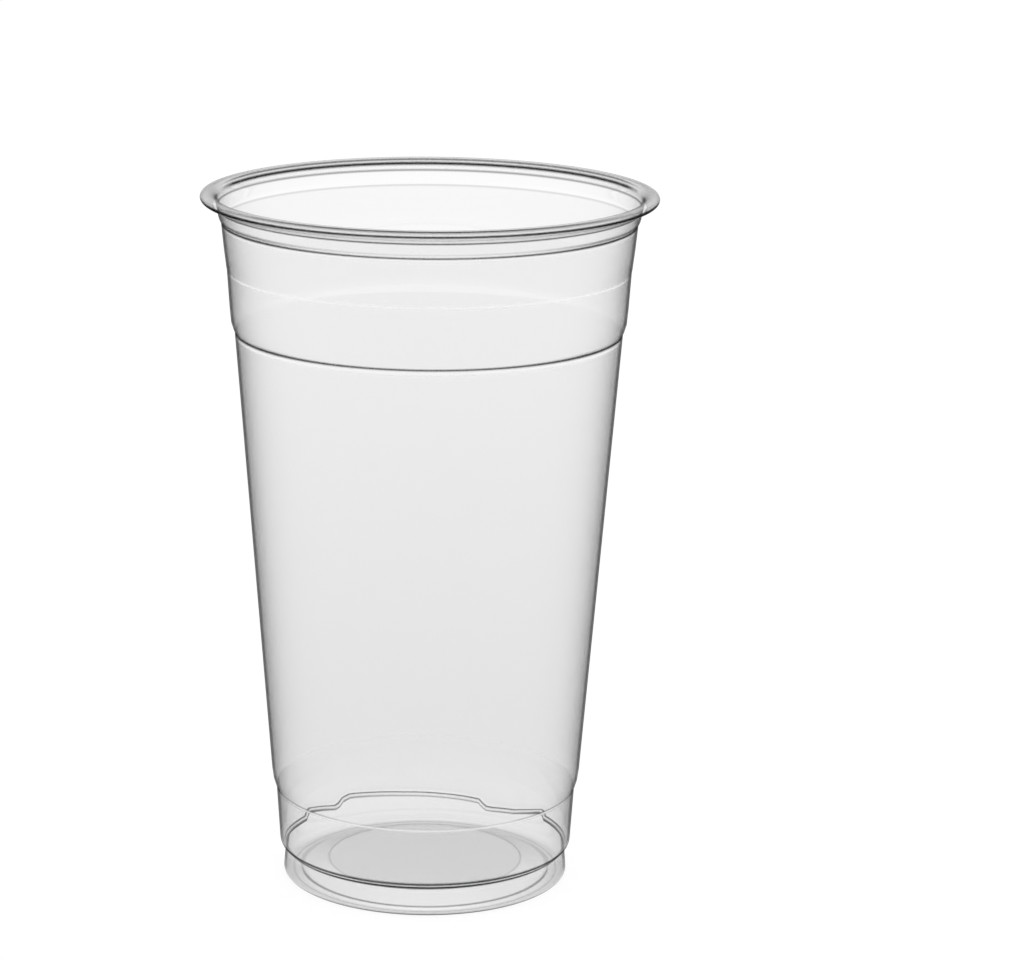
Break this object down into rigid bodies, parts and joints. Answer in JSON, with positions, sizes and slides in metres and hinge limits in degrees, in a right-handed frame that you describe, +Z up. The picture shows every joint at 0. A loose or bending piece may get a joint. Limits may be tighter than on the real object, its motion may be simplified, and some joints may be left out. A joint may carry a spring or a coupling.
{
  "type": "disposable cup",
  "caption": "Tall clear plastic cup for cold drinks, tapered, with a rolled rim, stepped bands, an undercut foot and a raised floor.",
  "frame": {"origin": "centre of the base, on the plane that the cup rests on", "axes": "+Z up along the cup's axis, towards the mouth"},
  "size_m": [0.0978, 0.0978, 0.1519],
  "materials": {
    "clear_plastic": "clear"
  },
  "bodies": {
    "root": {"cup": "clear_plastic"}
  },
  "joints": []
}
